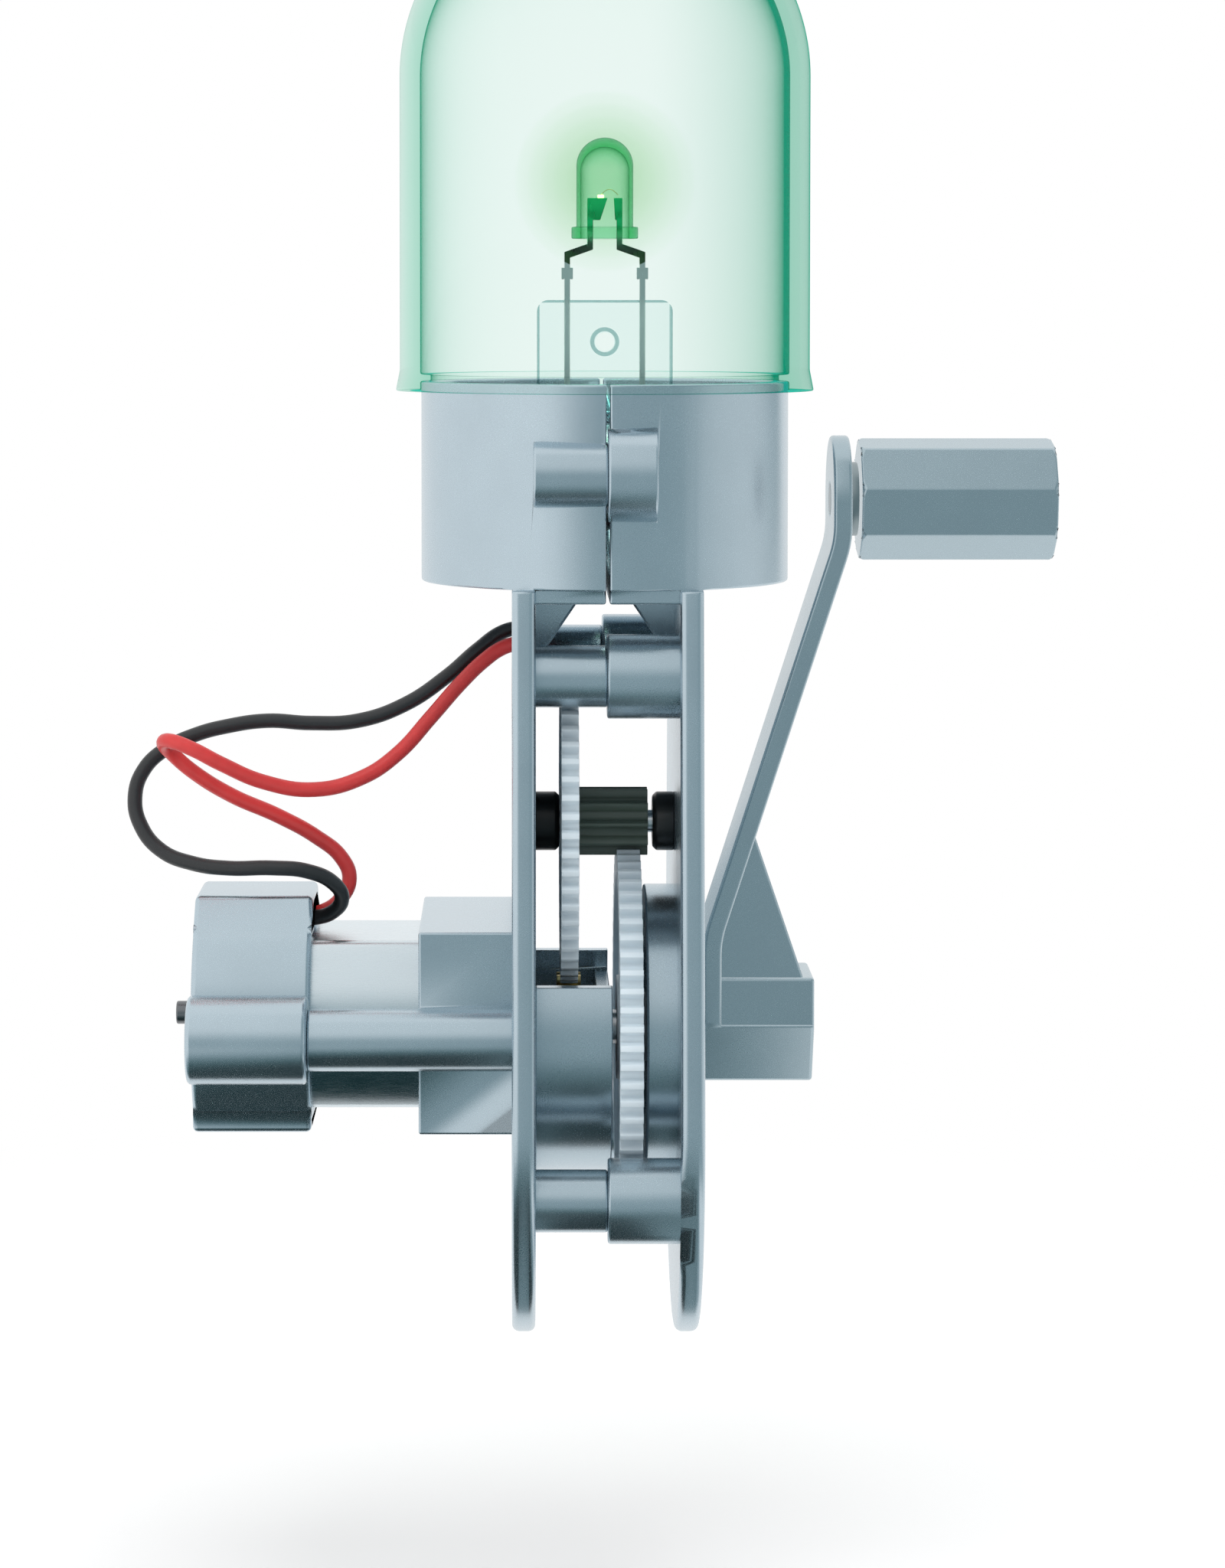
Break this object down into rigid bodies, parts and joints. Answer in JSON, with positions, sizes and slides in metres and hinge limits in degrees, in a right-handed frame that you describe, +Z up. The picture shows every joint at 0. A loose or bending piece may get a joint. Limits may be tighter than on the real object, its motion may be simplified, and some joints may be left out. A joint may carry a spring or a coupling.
{
  "type": "hand-cranked dynamo flashlight",
  "caption": "Bare mechanism of a hand-cranked flashlight: clear dome over an LED, split neck, side plates, gear train, small generator and a crank with an eight-sided knob.",
  "frame": {"origin": "lowest point of the two side plates, midway between them", "axes": "+Z up from the plates' round feet to the dome, +X to the crank's side along every shaft, +Y to the rear"},
  "size_m": [0.0802, 0.04, 0.1263],
  "materials": {
    "frame_plastic": "satin silver-grey moulding",
    "crank_plastic": "satin silver-grey moulding",
    "gear_pale": "pale blue-grey",
    "gear_dark": "dark green-grey",
    "bush_black": "black",
    "steel": "bright",
    "can_steel": "plated",
    "brass": "bare",
    "copper": "enamelled copper",
    "magnet": "ferrite, matt",
    "core": "laminated steel",
    "bell_plastic": "white",
    "dome_clear": "clear plastic with a green tint",
    "lens_clear": "clear green epoxy",
    "holder_clear": "clear plastic",
    "wire_red": "soft red insulation",
    "wire_black": "soft black insulation"
  },
  "bodies": {
    "frame": {"frame_left": "frame_plastic", "frame_right": "frame_plastic", "frame_screws": "steel", "gear_guard": "frame_plastic", "guard_bush": "bush_black", "crank_bush": "bush_black", "idler_axle": "steel", "idler_spacer_left": "bush_black", "idler_spacer_right": "bush_black", "motor_can": "can_steel", "motor_end_bell": "bell_plastic", "motor_front_bearing": "brass", "motor_rear_bearing": "brass", "motor_magnets": "magnet", "motor_brushes": "brass", "motor_terminals": "brass", "motor_cap": "frame_plastic", "motor_screws": "steel", "dome": "dome_clear", "led_lens": "lens_clear", "led_leads": "steel", "led_holder": "holder_clear", "wire_red": "wire_red", "wire_black": "wire_black"},
    "crank": {"crank_shaft": "steel", "drive_gear": "gear_pale", "crank_arm": "crank_plastic", "crank_screw": "steel", "knob_pin": "steel", "knob_screw": "steel"},
    "idler": {"idler_gear": "gear_pale", "idler_pinion": "gear_dark"},
    "rotor": {"motor_shaft": "steel", "armature_core": "core", "armature_windings": "copper", "commutator": "copper", "motor_pinion": "brass"},
    "knob": {"crank_knob": "crank_plastic", "knob_cap": "crank_plastic"}
  },
  "joints": [
    {"name": "crank_turn", "type": "hinge", "parent": "frame", "child": "crank", "pos_m": [0, 0, 0.0262], "axis": [1, 0, 0], "continuous": true},
    {"name": "idler_turn", "type": "hinge", "parent": "frame", "child": "idler", "pos_m": [0, 0, 0.0442], "axis": [1, 0, 0], "continuous": true},
    {"name": "rotor_turn", "type": "hinge", "parent": "frame", "child": "rotor", "pos_m": [0, 0, 0.02745], "axis": [1, 0, 0], "continuous": true},
    {"name": "knob_spin", "type": "hinge", "parent": "crank", "child": "knob", "pos_m": [0.03, 0, 0.0722], "axis": [1, 0, 0], "continuous": true}
  ],
  "couplings": [
    {"joint": "idler_turn", "follows": "crank_turn", "ratio": -6.2},
    {"joint": "rotor_turn", "follows": "crank_turn", "ratio": 28.417}
  ]
}
